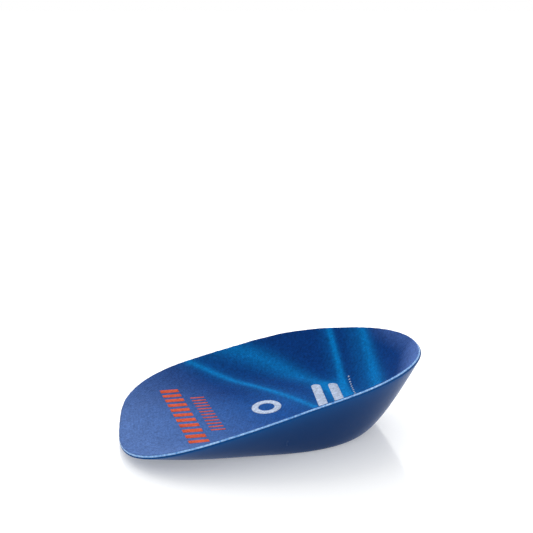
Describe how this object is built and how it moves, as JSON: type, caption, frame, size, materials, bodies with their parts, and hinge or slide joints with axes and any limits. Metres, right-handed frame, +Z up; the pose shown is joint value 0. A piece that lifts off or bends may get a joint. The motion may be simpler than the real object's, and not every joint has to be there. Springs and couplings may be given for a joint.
{
  "type": "gel heel cup",
  "caption": "Shallow moulded gel heel cup with a bonded textile top cover, a raised wall round the heel, a thin front edge and dimpled underside pockets.",
  "frame": {"origin": "centre of the bounding box at the height of the flat underside", "axes": "+Y along the foot to the thin front edge, -Y to the back of the heel, +Z up, +X across"},
  "size_m": [0.0694, 0.1, 0.0264],
  "materials": {
    "gel": "glossy translucent navy-blue gel",
    "cover_fabric": "finely knitted navy textile printed with soft azure streaks and plain orange and pale-grey marks, with a pale cut edge"
  },
  "bodies": {
    "root": {"gel_cup": "gel", "top_cover": "cover_fabric"}
  },
  "joints": []
}
